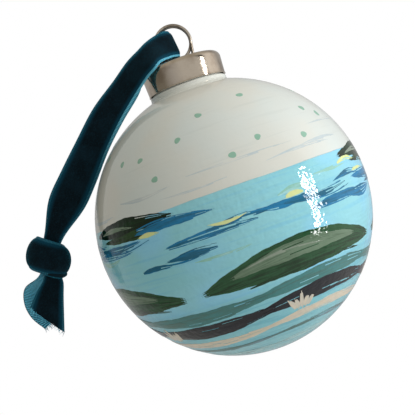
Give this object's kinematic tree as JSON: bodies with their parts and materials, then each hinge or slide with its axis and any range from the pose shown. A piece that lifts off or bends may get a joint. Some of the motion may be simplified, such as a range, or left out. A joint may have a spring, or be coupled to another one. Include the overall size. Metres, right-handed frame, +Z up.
{
  "type": "christmas tree ornament",
  "caption": "Hollow hand-painted ceramic bauble with a stepped neck, a drawn metal cap, a coiled spring-wire hanger and a knotted velvet ribbon loop.",
  "frame": {"origin": "inside top of the wire hanging coil, on the axis of the ball", "axes": "+Z up the ball's axis, +X to the right with the ribbon hanging to -X, -Y towards the painted front and the flat of the coil"},
  "size_m": [0.1063, 0.08, 0.0988],
  "materials": {
    "glazed_ball": "glossy, hand painted",
    "cap_metal": "polished nickel plate",
    "spring_wire": "bright drawn wire",
    "velvet": "cut pile with a ribbed satin back"
  },
  "bodies": {
    "ball": {"ball_shell": "glazed_ball", "ball_neck": "glazed_ball"},
    "cap": {"cap": "cap_metal"},
    "hanger": {"hanger_wire": "spring_wire"},
    "ribbon": {"ribbon_loop": "velvet", "ribbon_knot": "velvet", "ribbon_front_tail": "velvet", "ribbon_back_tail": "velvet"}
  },
  "joints": [
    {"name": "cap_lift", "type": "slide", "parent": "ball", "child": "cap", "axis": [0, 0, 1], "range_m": [0, 0.03]},
    {"name": "hanger_lift", "type": "slide", "parent": "cap", "child": "hanger", "axis": [0, 0, 1], "range_m": [0, 0.005]},
    {"name": "ribbon_turn", "type": "hinge", "parent": "hanger", "child": "ribbon", "pos_m": [0, 0, -0.00463], "axis": [0, 1, 0], "range_deg": [0, 120]}
  ]
}
